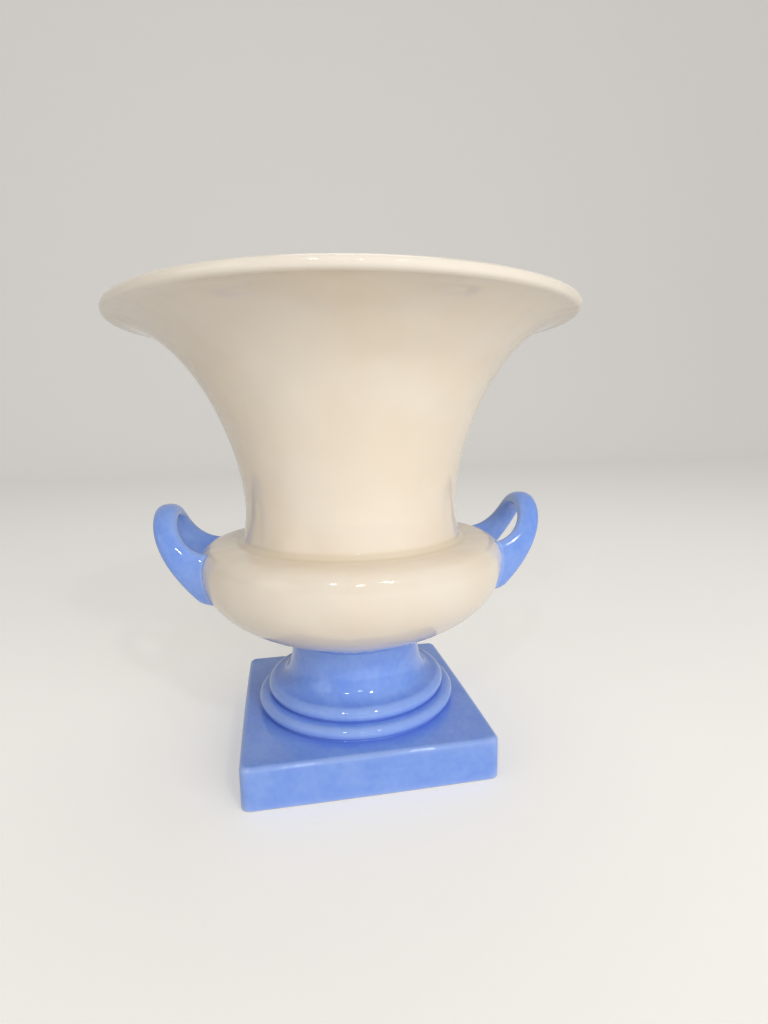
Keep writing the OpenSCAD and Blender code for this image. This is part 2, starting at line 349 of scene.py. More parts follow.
bm = bmesh.new()
spin_pot(bm, body_profile)
fire_brim(bm)
measure_glaze(bm)
bare_layer = bm.verts.layers.float.new("bare_clay")
for vert in bm.verts:
    under_seat = vert.co.z < seat_z + HAIR and math.hypot(vert.co.x, vert.co.y) < seat_r - MM
    vert[bare_layer] = 1.0 if under_seat else 0.0
ivory_body = keep_as_object(bm, "ivory_body")

# %% [markdown]
# ## The round foot and its plinth
#
# Foot and plinth are one hollow casting. From the top its side falls straight, sweeps out like the hollow
# of a column's base, turns over two rounded rings, and ends in a fillet on the plinth. A round ring can
# grow into a square one without a seam if both have the same number of points on the same rays from the
# axis. So the casting is made by one move repeated: extrude the open edge, and set each new point on its
# ray where it meets the next outline. A rounded square whose corner radius is half its side is a circle,
# so one outline serves for both.

# %% Outlines of the casting
plinth_h = 20.4 * MM
plinth_corner_r = 4 * MM
plinth_edge_r = 2.2 * MM
plinth_foot_r = 1.2 * MM
foot_wall = 5 * MM
scotia_drop = 15 * MM
scotia_run = 7 * MM
upper_ring_r = 45.7 * MM
lower_ring_r = 50.8 * MM
upper_bead_r = 3.5 * MM
lower_bead_r = 3 * MM
upper_bead_lift = 0.9 * upper_bead_r
socle_fillet_r = 1.4 * MM
lower_bead = Vector((lower_ring_r - lower_bead_r, plinth_h + socle_fillet_r + lower_bead_r))
upper_bead = Vector((upper_ring_r - upper_bead_r, lower_bead.y + lower_bead_r + upper_bead_lift))


def ray_on_outline(angle, half, corner):
    """The point where a ray from the axis meets a square with rounded corners."""
    c, s = math.cos(angle), math.sin(angle)
    across, along = abs(c), abs(s)
    straight = half - corner
    if across * straight >= along * half:
        reach = half / across
    elif along * straight >= across * half:
        reach = half / along
    else:
        centre_along_ray = straight * (across + along)
        under_root = centre_along_ray ** 2 - 2 * straight ** 2 + corner ** 2
        reach = centre_along_ray + math.sqrt(max(0.0, under_root))
    return reach * c, reach * s


def circle_ring(point, bare=0.0):
    """A round outline: its radius is both the half side and the corner."""
    return point.x, point.x, point.y, bare


upper_first, upper_last = 84, -62
lower_first, lower_last = 70, -74
groove_in_pull, groove_out_pull = 0.8 * MM, 1.3 * MM
fillet_in_pull, fillet_out_pull = 1.2 * MM, 1.8 * MM
scotia = sweep(Vector((seat_r, socle_top_z)), -UPRIGHT, scotia_drop,
               upper_bead + Vector((0, upper_bead_r)), LEVEL, scotia_run, 30)
upper_end = upper_bead + upper_bead_r * heading(upper_last)
lower_start = lower_bead + lower_bead_r * heading(lower_first)
lower_end = lower_bead + lower_bead_r * heading(lower_last)
groove = sweep(upper_end, heading(upper_last - 90), groove_in_pull,
               lower_start, heading(lower_first - 90), groove_out_pull, 6)
under_ring = sweep(lower_end, heading(lower_last - 90), fillet_in_pull,
                   Vector((lower_bead.x + socle_fillet_r, plinth_h)), LEVEL, fillet_out_pull, 9)
socle_side = without_repeats(
    scotia + round_edge(upper_bead, upper_bead_r, upper_first, upper_last, 14) + groove
    + round_edge(lower_bead, lower_bead_r, lower_first, lower_last, 13) + under_ring
)
print("Side of the round foot:", len(socle_side), "rings")

# %% [markdown]
# The rings then cross the plinth's top, roll over its edge, go down its side, turn under, and come back
# up inside: the vase stands on a rim, and the hollow above it keeps the casting as thin as the rest. Each
# ring also says whether glaze covers it. The rim that stands on the kiln shelf is wiped clean, and so is
# the hollow.

# %% List the rings
half_square_corner_r = 16 * MM
square_corner_r = 2 * MM
wiped_z = 0.4 * MM
plinth_rings = [circle_ring(p) for p in socle_side]
plinth_rings += [
    circle_ring(Vector((socle_side[-1].x + 0.8 * MM, plinth_h))),
    (plinth_half - 2.2 * plinth_edge_r, half_square_corner_r, plinth_h, 0.0),
    (plinth_half - 1.2 * plinth_edge_r, square_corner_r, plinth_h, 0.0),
]
top_flat = plinth_half - plinth_edge_r
for p in round_edge(Vector((top_flat, plinth_h - plinth_edge_r)), plinth_edge_r, 90, 0, 8):
    plinth_rings.append((p.x, plinth_corner_r - (plinth_half - p.x), p.y, 0.0))
side_levels = 8
side_top, side_bottom = plinth_h - plinth_edge_r, plinth_foot_r
for i in range(1, side_levels):
    z = side_top + (side_bottom - side_top) * i / side_levels
    plinth_rings.append((plinth_half, plinth_corner_r, z, 0.0))
for p in round_edge(Vector((plinth_half - plinth_foot_r, plinth_foot_r)), plinth_foot_r, 0, -90, 5):
    plinth_rings.append((p.x, plinth_corner_r - (plinth_half - p.x), p.y, 0.0 if p.y > wiped_z else 1.0))
hollow_half = plinth_half - foot_wall
rim_round = 0.8 * MM
ceiling_z = plinth_h - foot_wall
ceiling_corner_r, ceiling_corner_cut = 1.5 * MM, 0.45 * MM
for p in round_edge(Vector((hollow_half + rim_round, rim_round)), rim_round, -90, -180, 4):
    plinth_rings.append((p.x, plinth_corner_r, p.y, 1.0))
plinth_rings += [
    (hollow_half, plinth_corner_r, ceiling_z / 2, 1.0),
    (hollow_half, plinth_corner_r, ceiling_z - ceiling_corner_r, 1.0),
    (hollow_half - ceiling_corner_cut, plinth_corner_r, ceiling_z - ceiling_corner_cut, 1.0),
    (hollow_half - ceiling_corner_r, plinth_corner_r, ceiling_z, 1.0),
]
inner_side = [p + way * foot_wall for p, way in zip(scotia, side_ways(scotia))]
inner_side = [p for p in inner_side if p.y > plinth_h + MM]
mouth_r = inner_side[-1].x
mouth_cut, mouth_rise = 0.3 * MM, 0.6 * MM
plinth_rings += [circle_ring(Vector((mouth_r + ceiling_corner_r, ceiling_z)), 1.0)]
plinth_rings += [circle_ring(Vector((mouth_r + mouth_cut, ceiling_z + mouth_rise)), 1.0)]
plinth_rings += [circle_ring(p, 1.0) for p in reversed(inner_side[::2])]
print("Foot and plinth:", len(plinth_rings), "rings, hollow to", round(ceiling_z / MM, 1), "mm")

# %% [markdown]
# The rays are spaced evenly along the sides and close together at the corners, where the outline turns.
# The long sides of a slip-cast plinth also shrink unevenly: the corners draw in a little more than the
# middles, so the sides look faintly bowed. The last ring is bridged to the first, which closes the
# casting.

# %% Cast the foot
side_rays = 34
corner_rays = 10
corner_spread = math.radians(2.9)
corner_draw = 0.45 * MM


def ray_angles():
    """Angles of the rays round the axis, finer at the four corners."""
    angles = []
    for quarter in range(4):
        middle = quarter * math.pi / 2
        first, last = -math.pi / 4 + corner_spread, math.pi / 4 - corner_spread
        angles += [middle + first + (last - first) * i / side_rays for i in range(side_rays)]
        angles += [middle + last + 2 * corner_spread * i / corner_rays for i in range(corner_rays)]
    return angles


def set_ring(verts, angles, ring, layer):
    """Sets each point of a ring on its ray."""
    half, corner, z, bare = ring
    for vert, angle in zip(verts, angles):
        x, y = ray_on_outline(angle, half, corner)
        vert.co = (x, y, z)
        vert[layer] = bare


def grow_ring(bm, verts):
    """Extrudes a closed ring of edges and returns the new ring's points in the same order."""
    count = len(verts)
    edges = [bm.edges.get((verts[i], verts[(i + 1) % count])) for i in range(count)]
    made = bmesh.ops.extrude_edge_only(bm, edges=edges)["geom"]
    new_verts = {v for v in made if isinstance(v, bmesh.types.BMVert)}
    grown = []
    for vert in verts:
        grown += [e.other_vert(vert) for e in vert.link_edges if e.other_vert(vert) in new_verts]
    return grown


def close_rings(bm, first, last):
    """Bridges the last ring to the first."""
    count = len(first)
    edges = [bm.edges.get((ring[i], ring[(i + 1) % count])) for ring in (first, last) for i in range(count)]
    bmesh.ops.bridge_loops(bm, edges=edges)
    bmesh.ops.recalc_face_normals(bm, faces=bm.faces)


def draw_corners(bm):
    """Draws the plinth's corners in, so that its sides are faintly bowed."""
    for vert in bm.verts:
        x, y = vert.co.x, vert.co.y
        if max(abs(x), abs(y)) > hollow_half - 2 * MM and vert.co.z < plinth_h + HAIR:
            vert.co.x = x - math.copysign(corner_draw * (y / plinth_half) ** 2, x) * abs(x) / plinth_half
            vert.co.y = y - math.copysign(corner_draw * (x / plinth_half) ** 2, y) * abs(y) / plinth_half


bm = bmesh.new()
angles = ray_angles()
bare_layer = bm.verts.layers.float.new("bare_clay")
first_ring = bmesh.ops.create_circle(bm, cap_ends=False, radius=seat_r, segments=len(angles))["verts"]
set_ring(first_ring, angles, plinth_rings[0], bare_layer)
ring_verts = first_ring
for ring in plinth_rings[1:]:
    ring_verts = grow_ring(bm, ring_verts)
    set_ring(ring_verts, angles, ring, bare_layer)
close_rings(bm, first_ring, ring_verts)
draw_corners(bm)
measure_glaze(bm, passes=4)
blue_foot = keep_as_object(bm, "blue_foot")

# %% [markdown]
# ## The joint under the bowl
#
# Bowl and foot were cast apart and stuck together with slip, and both glazes ran into that joint. So the
# corner is a soft hollow, and ivory feathers into blue over a millimetre or two. The piece is a ring with
# a small concave section. A number on it, ivory_share, runs from 0 on the foot to 1 on the bowl, and the
# material mixes by it.

# %% Fill the joint under the bowl
joint_drop = 1.5 * MM
joint_spread = 2.2 * MM
joint_sink = 0.06 * MM
joint_pull = 1.1 * MM
joint_back_r = seat_r - 1.5 * MM
joint_back_rise, joint_back_drop = 0.6 * MM, 0.5 * MM
seat_way = heading(bowl_seat_angle)
seat_out = Vector((seat_way.y, -seat_way.x))
foot_side = Vector((seat_r - joint_sink, socle_top_z - joint_drop))
bowl_side = seat_edge + seat_way * joint_spread - seat_out * joint_sink
joint_face = sweep(foot_side, UPRIGHT, joint_pull, bowl_side, seat_way, joint_pull, 12)
joint_back = [Vector((joint_back_r, seat_z + joint_back_rise)),
              Vector((joint_back_r, socle_top_z - joint_back_drop))]

bm = bmesh.new()
spin_pot(bm, joint_face + joint_back, closed=True)
measure_glaze(bm, strength=0.4)
share_layer = bm.verts.layers.float.new("ivory_share")
for vert in bm.verts:
    reach = (Vector((math.hypot(vert.co.x, vert.co.y), vert.co.z)) - foot_side).length
    vert[share_layer] = min(1.0, reach / (bowl_side - foot_side).length)
foot_slip_ring = keep_as_object(bm, "foot_slip_ring")

# %% [markdown]
# ## The shape of a handle
#
# Each handle is one loop of flattened strap. It leaves the bowl at two roots, rises outwards, and the two
# limbs meet in a round top. The strap is narrow at the top and spreads towards the roots, upwards more
# than downwards, where thumbs pressed it against the bowl. Seen from the side the centre line is one
# sweep. Seen along the side it is a half oval, so one angle, from 0 at the front root to 180 at the rear,
# gives every point.

# %% Centre line and section of the strap
root = Vector((68.7 * MM, wide_z - 4.8 * MM))
root_angle = 33
root_way = heading(root_angle)
root_pull = 14.6 * MM
loop_top = Vector((89.5 * MM, root.y + 31.8 * MM))
loop_lean = 0.5
loop_pull = 12 * MM
root_half_gap = 22.4 * MM
loop_fullness = 0.95
strap_w, strap_t = 10.8 * MM, 7 * MM
root_low, root_high, root_t = 9.5 * MM, 18.6 * MM, 7 * MM
root_round = 16 * MM
low_fade, high_fade = 3, 3.5
strap_flatness = 2.2
handle_turn = -2.8

side_controls = (
    root,
    root + root_pull * root_way,
    loop_top - loop_pull * heading(90 - loop_lean),
    loop_top,
)


def side_line(t):
    """A point of the side view's centre line and its direction, for t from 0 at a root to 1 at the top."""
    a, b, c, d = side_controls
    u = 1 - t
    point = u ** 3 * a + 3 * u * u * t * b + 3 * u * t * t * c + t ** 3 * d
    way = u * u * (b - a) + 2 * u * t * (c - b) + t * t * (d - c)
    return point, way.normalized()


def loop_point(angle):
    """A point of the loop's centre line at an angle round it, in radians."""
    point, _ = side_line(math.sin(angle))
    y = -root_half_gap * math.copysign(abs(math.cos(angle)) ** loop_fullness, math.cos(angle))
    return Vector((point.x, y, point.y))


def strap_section(angle):
    """Centre, two directions and two half sizes of the strap's section."""
    _, side_way = side_line(math.sin(angle))
    across = Vector((-side_way.y, 0, side_way.x))
    near_root = 1 - math.sin(angle)
    low = strap_w / 2 + (root_low - strap_w / 2) * near_root ** low_fade
    high = strap_w / 2 + (root_high - strap_w / 2) * near_root ** high_fade
    step = math.radians(0.5)
    along = loop_point(min(angle + step, math.pi)) - loop_point(max(angle - step, 0))
    through = along.cross(across).normalized()
    half_t = (strap_t + (root_t - strap_t) * near_root ** low_fade) / 2
    return loop_point(angle) + (high - low) / 2 * across, across, through, (high + low) / 2, half_t


# %% [markdown]
# Past a root the strap's lower edge turns round on a radius and runs into the bowl, so the root ends in a
# soft tongue and not in a square cut. Those last sections lie inside the bowl's wall line, and only the
# part outside it shows. A section is an oval with slightly flattened faces: a power a little above 2 does
# that.

# %% Sections of the root and lines along the strap
strap_sides = 44
turn_steps = 10
bury_steps = 4
turn_end = -95
buried = 18 * MM
bury_way = heading(175)
tip_slide = 0.3


def root_section(k):
    """Section k past the front root, where the strap's lower edge turns into the bowl."""
    normal = Vector((root_way.y, -root_way.x))
    centre = root + (root_low - root_round) * normal
    turn_start = root_angle - 90
    turned = turn_start + (turn_end - turn_start) * min(k, turn_steps) / turn_steps
    low = centre + root_round * heading(turned)
    if k > turn_steps:
        low = low + buried * (k - turn_steps) / bury_steps * bury_way
    high = root - root_high * normal - tip_slide * k * MM * root_way
    spread = high - low
    across = Vector((spread.x, 0, spread.y)).normalized()
    middle = (low + high) / 2
    centre_3d = Vector((middle.x, -root_half_gap, middle.y))
    return centre_3d, across, Vector((0, -1, 0)), spread.length / 2, root_t / 2


def section_point(section, j):
    """Point j round a section of the strap."""
    centre, across, through, half_w, half_t = section
    b = 2 * math.pi * j / strap_sides
    power = 2 / strap_flatness
    w = math.copysign(abs(math.cos(b)) ** power, math.cos(b))
    t = math.copysign(abs(math.sin(b)) ** power, math.sin(b))
    return centre + half_w * w * across + half_t * t * through


line_steps = 90
sections = [strap_section(math.pi / 2 * (1 - i / line_steps)) for i in range(line_steps + 1)]
sections += [root_section(k) for k in range(1, turn_steps + bury_steps + 1)]
strap_lines = [[section_point(s, j) for s in sections] for j in range(strap_sides)]
print("Strap:", strap_sides, "lines of", len(sections), "points from the loop's top to inside the bowl")

# %% [markdown]
# ## Where the strap meets the bowl
#
# Each line along the strap is followed until it passes through the bowl's surface. That gives the exact
# contact line, and the strap can end there. A boolean cut would give the same edge with ragged faces.
# Lines that end on the contact keep the faces regular, and the soft joint can then be built on the same
# points. The bowl's surface is known by its outline: the place on it nearest to a point tells how far
# outside the bowl the point lies. That also holds on the shoulder, which is almost level, where a radius
# looked up by height would jump.

# %% Find the contact with the bowl
bowl_line = without_repeats(bowl_outline + cove)
bowl_ways = side_ways(bowl_line)


def nearest_on_bowl(point):
    """How far a point lies outside the bowl, and the bowl's outward direction at the nearest place."""
    flat = Vector((math.hypot(point.x, point.y), point.z))
    nearest = math.inf
    for i in range(len(bowl_line) - 1):
        span = bowl_line[i + 1] - bowl_line[i]
        share = max(0.0, min(1.0, (flat - bowl_line[i]).dot(span) / span.length_squared))
        gap = flat - bowl_line[i] - span * share
        if gap.length < nearest:
            nearest = gap.length
            way = bowl_ways[i].lerp(bowl_ways[i + 1], share).normalized()
            outside_by = math.copysign(nearest, gap.dot(way))
    return outside_by, Vector((way.x * point.x / flat.x, way.x * point.y / flat.x, way.y))


def above_bowl(point):
    return nearest_on_bowl(point)[0]


def bowl_normal(point):
    return nearest_on_bowl(point)[1]


def on_bowl(point, raised=0.0):
    """The nearest place on the bowl, or that far above it."""
    outside_by, normal = nearest_on_bowl(point)
    return point + normal * (raised - outside_by)


def cut_at_bowl(line):
    """The line up to the bowl, ending exactly on its surface."""
    kept = [line[0]]
    for point in line[1:]:
        if above_bowl(point) < 0:
            outside_end, inside_end = kept[-1], point
            for _ in range(30):
                middle = (outside_end + inside_end) / 2
                if above_bowl(middle) < 0:
                    inside_end = middle
                else:
                    outside_end = middle
            return kept + [outside_end]
        kept.append(point)
    return kept


def spaced(line, count):
    """The same line as count + 1 points at even distances."""
    lengths = [0.0]
    for a, b in zip(line, line[1:]):
        lengths.append(lengths[-1] + (b - a).length)
    points = []
    k = 0
    for i in range(count + 1):
        wanted = lengths[-1] * i / count
        while k < len(lengths) - 2 and lengths[k + 1] < wanted:
            k += 1
        share = (wanted - lengths[k]) / max(lengths[k + 1] - lengths[k], 1e-9)
        points.append(line[k].lerp(line[k + 1], min(share, 1.0)))
    return points


free_lines = [cut_at_bowl(line) for line in strap_lines]
contact = [line[-1] for line in free_lines]
contact_low = min(p.z for p in contact)
contact_high = max(p.z for p in contact)
off_bowl = max(abs(above_bowl(p)) for p in contact)
print(f"A root touches the bowl from {contact_low / MM:.1f} to {contact_high / MM:.1f} mm high")
print(f"No point of the contact is more than {off_bowl / MM:.4f} mm off the bowl")

# %% [markdown]
# ## The two handles
#
# The handle is built like the foot, ring after ring, from just inside the rear contact over the top to
# just inside the front one. The rear half mirrors the front half, and the left handle is the right one
# turned half round. On the vase in the photograph both were stuck on almost 3 degrees round from the
# middles of the plinth's sides.

# %% Make the handles
half_rings = 56
tuck = 0.35 * MM


def mirrored(point):
    return Vector((point.x, -point.y, point.z))


def handle_rings():
    """Rings of points from the front root over the top to the rear root."""
    lines = [spaced(line, half_rings) for line in free_lines]
    tucked = [p - bowl_normal(p) * tuck for p in contact]
    front = [[line[k] for line in lines] for k in range(half_rings, -1, -1)]
    front = [tucked] + front
    return front + [[mirrored(p) for p in ring] for ring in reversed(front[:-1])]


def skin_rings(bm, rings):
    """Grows a skin over rings of points, and returns its first and last ring."""
    first = bmesh.ops.create_circle(bm, cap_ends=False, radius=MM, segments=len(rings[0]))["verts"]
    verts = first
    for number, ring in enumerate(rings):
        if number:
            verts = grow_ring(bm, verts)
        for vert, point in zip(verts, ring):
            vert.co = point
    return first, verts


def turn_to_side(bm, on_left):
    """Turns a handle's piece round the vase to its place on the right or the left."""
    angle = math.radians(handle_turn + (180 if on_left else 0))
    bmesh.ops.rotate(bm, verts=bm.verts, cent=(0, 0, 0), matrix=Matrix.Rotation(angle, 3, "Z"))


def make_handle(name, on_left):
    bm = bmesh.new()
    skin_rings(bm, handle_rings())
    bmesh.ops.holes_fill(bm, edges=bm.edges, sides=0)
    bmesh.ops.recalc_face_normals(bm, faces=bm.faces)
    measure_glaze(bm)
    turn_to_side(bm, on_left)
    return keep_as_object(bm, name)


handles = {
    "left_handle": make_handle("left_blue_handle", True),
    "right_handle": make_handle("right_blue_handle", False),
}

# %% [markdown]
# ## The slip joints of the handles
#
# The four roots were stuck on with slip, smoothed with a wet finger, and glazed over. What shows is a
# thin hollow seam: it climbs a little up the strap, and spreads as a film onto the bowl, wider above the
# root where blue glaze ran onto the ivory shoulder. Each joint is a thin ring skin over the contact line,
# with its feather edges sunk just below the strap and the bowl.

# %% Make the slip joints
climb = 0.9 * MM
film = 1.0 * MM
film_above = 1.3 * MM
feather = 0.04 * MM
joint_steps = 8


def back_along(line, distance):
    """The point of a line that lies distance before its end."""
    left = distance
    for a, b in zip(reversed(line), reversed(line[:-1])):
        length = (b - a).length
        if length >= left:
            return a.lerp(b, left / length)
        left -= length
    return line[0]


def joint_rings():
    """Rings of the front root's joint on the right handle, from the strap to the bowl and back inside."""
    count = len(contact)
    middle = sum(contact, Vector()) / count
    sections = []
    for j, point in enumerate(contact):
        along = contact[(j + 1) % count] - contact[j - 1]
        normal = bowl_normal(point)
        outwards = normal.cross(along).normalized()
        if outwards.dot(point - middle) < 0:
            outwards = -outwards
        width = film + film_above * max(0.0, outwards.z)
        strap_end = back_along(free_lines[j], climb)
        far_side = back_along(free_lines[(j + count // 2) % count], climb)
        strap_end = strap_end + (far_side - strap_end).normalized() * feather
        bowl_end = on_bowl(point + outwards * width, -feather)
        section = []
        for i in range(joint_steps + 1):
            t = i / joint_steps
            section.append((1 - t) ** 2 * strap_end + 2 * t * (1 - t) * point + t * t * bowl_end)
        section.append(on_bowl(point, -tuck))
        sections.append(section)
    return [[section[i] for section in sections] for i in range(joint_steps + 2)]


def make_joint(name, on_left, at_front):
    rings = joint_rings()
    # Half a turn takes the right handle's front root to the rear of the left side.
    if at_front == on_left:
        rings = [[mirrored(p) for p in ring] for ring in rings]
    bm = bmesh.new()
    first, last = skin_rings(bm, rings)
    close_rings(bm, first, last)
    share_layer = bm.verts.layers.float.new("ivory_share")
    bm.verts.index_update()
    for vert in bm.verts:
        vert[share_layer] = min(1.0, (vert.index // strap_sides) / joint_steps)
    measure_glaze(bm, passes=2, strength=0.25)
    turn_to_side(bm, on_left)
    return keep_as_object(bm, name)


joints = {}
for side in ("left", "right"):
    for end in ("front", "rear"):
        joint = make_joint(f"{side}_{end}_joint", side == "left", end == "front")
        joints[f"{side}_handle_{end}_slip"] = joint

# %% [markdown]
# ## Node helpers
#
# The glazes are made of the same few node steps, so those steps are functions: a mix of two colours by a
# factor, a cloudy pattern of a given size, and a number read from the mesh. All patterns read Object
# coordinates. Every piece has its place in its mesh, so the patterns are in real metres and run on from
# one piece to the next.

# %% Node helpers


def linear(red, green, blue):
    """A colour written as it looks on a screen, from 0 to 255, as the shader needs it."""
    parts = [value / 255 for value in (red, green, blue)]
    parts = [p / 12.92 if p <= 0.04045 else ((p + 0.055) / 1.055) ** 2.4 for p in parts]
    return (*parts, 1.0)


def new_glaze(name):
    """An empty material with a surface shader, and its tree."""
    material = bpy.data.materials.new(name)
    material.use_nodes = True
    tree = material.node_tree
    return material, tree, tree.nodes["Principled BSDF"]


def feed(tree, socket, value):
    """Links a socket to another node's output, or sets it."""
    if isinstance(value, bpy.types.NodeSocket):
        tree.links.new(value, socket)
    else:
        socket.default_value = value


def colour_mix(tree, factor, first, second):
    """The first colour where the factor is 0 and the second where it is 1."""
    node = tree.nodes.new("ShaderNodeMix")
    node.data_type = "RGBA"
    feed(tree, node.inputs["Factor"], factor)
    feed(tree, node.inputs[6], first)
    feed(tree, node.inputs[7], second)
    return node.outputs[2]


def cloud(tree, size, detail=2.0, low=0.35, high=0.65):
    """A soft cloudy pattern from 0 to 1 whose patches are about size metres wide."""
    place = tree.nodes.new("ShaderNodeTexCoord")
    noise = tree.nodes.new("ShaderNodeTexNoise")
    noise.inputs["Scale"].default_value = 1 / size
    noise.inputs["Detail"].default_value = detail
    tree.links.new(place.outputs["Object"], noise.inputs["Vector"])
    return stretch(tree, noise.outputs["Fac"], low, high)


def stretch(tree, value, low, high, bottom=0.0, top=1.0):
    """Turns low to high into bottom to top, smoothly, and holds what lies beyond."""
    node = tree.nodes.new("ShaderNodeMapRange")
    node.interpolation_type = "SMOOTHSTEP"
    feed(tree, node.inputs["Value"], value)
    node.inputs["From Min"].default_value = low
    node.inputs["From Max"].default_value = high
    node.inputs["To Min"].default_value = bottom
    node.inputs["To Max"].default_value = top
    return node.outputs["Result"]


def mesh_number(tree, name):
    """A number that the mesh carries at its points."""
    node = tree.nodes.new("ShaderNodeAttribute")
    node.attribute_name = name
    return node.outputs["Fac"]


def calculate(tree, operation, first, second):
    node = tree.nodes.new("ShaderNodeMath")
    node.operation = operation
    feed(tree, node.inputs[0], first)
    feed(tree, node.inputs[1], second)
    return node.outputs["Value"]


def ripple(tree, shader, height, distance):
    """Tilts the surface by a height pattern, whose full step is distance metres."""
    node = tree.nodes.new("ShaderNodeBump")
    node.inputs["Strength"].default_value = 1.0
    node.inputs["Distance"].default_value = distance
    feed(tree, node.inputs["Height"], height)
    tree.links.new(node.outputs["Normal"], shader.inputs["Normal"])


# %% [markdown]
# ## Colours of the glazes
#
# Ivory is never one colour. It is creamier where it is thick, whiter where it is thin over an edge, and
# faintly clouded everywhere. The blue does the same more strongly: it is a milky glaze, pale on the rings
# and edges, deep in the grooves, with small soft patches. Bare clay is a dull, warm off-white.

# %% Colour of each glaze
IVORY = linear(242, 231, 215)
IVORY_CLOUD = linear(240, 226, 206)
IVORY_THICK = linear(221, 205, 171)
IVORY_THIN = linear(246, 237, 222)
BLUE = linear(120, 158, 240)
BLUE_CLOUD = linear(136, 171, 243)
BLUE_THICK = linear(98, 130, 214)
BLUE_THIN = linear(160, 187, 246)
CLAY = linear(214, 199, 178)
CLAY_DARK = linear(196, 178, 154)


def ivory_colour(tree):
    """Ivory with its faint clouds, by the depth of the glaze."""
    depth = mesh_number(tree, "glaze_depth")
    colour = colour_mix(tree, cloud(tree, 45 * MM), IVORY, IVORY_CLOUD)
    colour = colour_mix(tree, stretch(tree, depth, 0.04, 0.7), colour, IVORY_THICK)
    return colour_mix(tree, stretch(tree, depth, -0.15, -0.8), colour, IVORY_THIN)


def blue_colour(tree):
    """Blue with large and small milky patches, by the depth of the glaze."""
    depth = mesh_number(tree, "glaze_depth")
    patches = calculate(tree, "ADD", calculate(tree, "MULTIPLY", cloud(tree, 14 * MM), 0.6),
                        calculate(tree, "MULTIPLY", cloud(tree, 2.6 * MM, 3.0), 0.4))
    colour = colour_mix(tree, patches, BLUE, BLUE_CLOUD)
    colour = colour_mix(tree, stretch(tree, depth, 0.04, 0.9, 0.0, 0.7), colour, BLUE_THICK)
    return colour_mix(tree, stretch(tree, depth, -0.1, -0.95), colour, BLUE_THIN)


# %% [markdown]
# ## The glaze material
#
# A glaze is a thin layer of glass: its colour comes from below, and its surface mirrors the room. One
# shader with low roughness does both. The surface isn't optically flat: it has a very faint ripple of a
# centimetre or so, left by the clay below, and a finer one like orange peel, so reflections keep soft,
# living edges. Where a piece has bare clay, the colour, the roughness and the ripple change to those of a
# dry biscuit.

# %% Materials of the castings
GLAZE_ROUGHNESS = 0.05
ROUGHNESS_SPREAD = 0.04
CLAY_ROUGHNESS = 0.75
GLAZE_IOR = 1.53
RELIEF_HEIGHT = 0.35 * MM
RIPPLE_SIZE = 16 * MM
PEEL_SIZE, PEEL_SHARE = 1.6 * MM, 0.06
GRIT_SIZE, GRIT_SHARE = 0.7 * MM, 0.4


def finish_surface(tree, shader, colour, bare=None):
    """Gives the shader a glaze's gloss and ripple, and bare clay where bare is 1."""
    dullest = GLAZE_ROUGHNESS + ROUGHNESS_SPREAD
    roughness = stretch(tree, cloud(tree, 20 * MM), 0, 1, GLAZE_ROUGHNESS, dullest)
    peel = calculate(tree, "MULTIPLY", cloud(tree, PEEL_SIZE, 1.0, 0.0, 1.0), PEEL_SHARE)
    relief = calculate(tree, "ADD", cloud(tree, RIPPLE_SIZE, 1.0, 0.0, 1.0), peel)
    if bare is not None:
        colour = colour_mix(tree, bare, colour, colour_mix(tree, cloud(tree, 3 * MM, 4.0), CLAY, CLAY_DARK))
        roughness = calculate(tree, "ADD", roughness,
                              calculate(tree, "MULTIPLY", bare, CLAY_ROUGHNESS - GLAZE_ROUGHNESS))
        grit = calculate(tree, "MULTIPLY", cloud(tree, GRIT_SIZE, 2.0, 0.0, 1.0), GRIT_SHARE)
        relief = calculate(tree, "ADD", relief, calculate(tree, "MULTIPLY", bare, grit))
    feed(tree, shader.inputs["Base Color"], colour)
    feed(tree, shader.inputs["Roughness"], roughness)
    shader.inputs["IOR"].default_value = GLAZE_IOR
    ripple(tree, shader, relief, RELIEF_HEIGHT)


def ivory_glaze():
    material, tree, shader = new_glaze("ivory_glaze")
    finish_surface(tree, shader, ivory_colour(tree), mesh_number(tree, "bare_clay"))
    return material


def blue_glaze():
    material, tree, shader = new_glaze("blue_glaze")
    finish_surface(tree, shader, blue_colour(tree), mesh_number(tree, "bare_clay"))
    return material


# %% [markdown]
# At a joint the two glazes meet in a line that wanders a little, with a narrow milky band where they
# melted together. The mesh says how far across the joint a point lies, a fine cloud pushes that number up
# and down, and a narrow step of it changes blue to ivory.

# %% Material of the joints


def joint_glaze():
    material, tree, shader = new_glaze("joint_glaze")
    wander = calculate(tree, "SUBTRACT", cloud(tree, 4 * MM, 3.0, 0.2, 0.8), 0.5)
    wander = calculate(tree, "MULTIPLY", wander, 0.30)
    across = calculate(tree, "ADD", mesh_number(tree, "ivory_share"), wander)
    meeting = colour_mix(tree, stretch(tree, across, 0.4, 0.7, 0.0, 0.5), blue_colour(tree), BLUE_THIN)
    colour = colour_mix(tree, stretch(tree, across, 0.5, 0.8), meeting, ivory_colour(tree))
    finish_surface(tree, shader, colour)
    return material


ivory_material = ivory_glaze()
blue_material = blue_glaze()
joint_material = joint_glaze()
print("Materials:", [m.name for m in (ivory_material, blue_material, joint_material)])

# %% [markdown]
# ## Dress the frame
#
# Each piece gets its material in its one slot, rides on the one body that the vase has, and stands for the
# node whose shape it refines.

# %% Put the pieces on the frame


def dress(piece, material, node):
    """Finishes a piece and puts it in the place of its node."""
    piece.data.materials.append(material)
    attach(piece, "root")
    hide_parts(node)


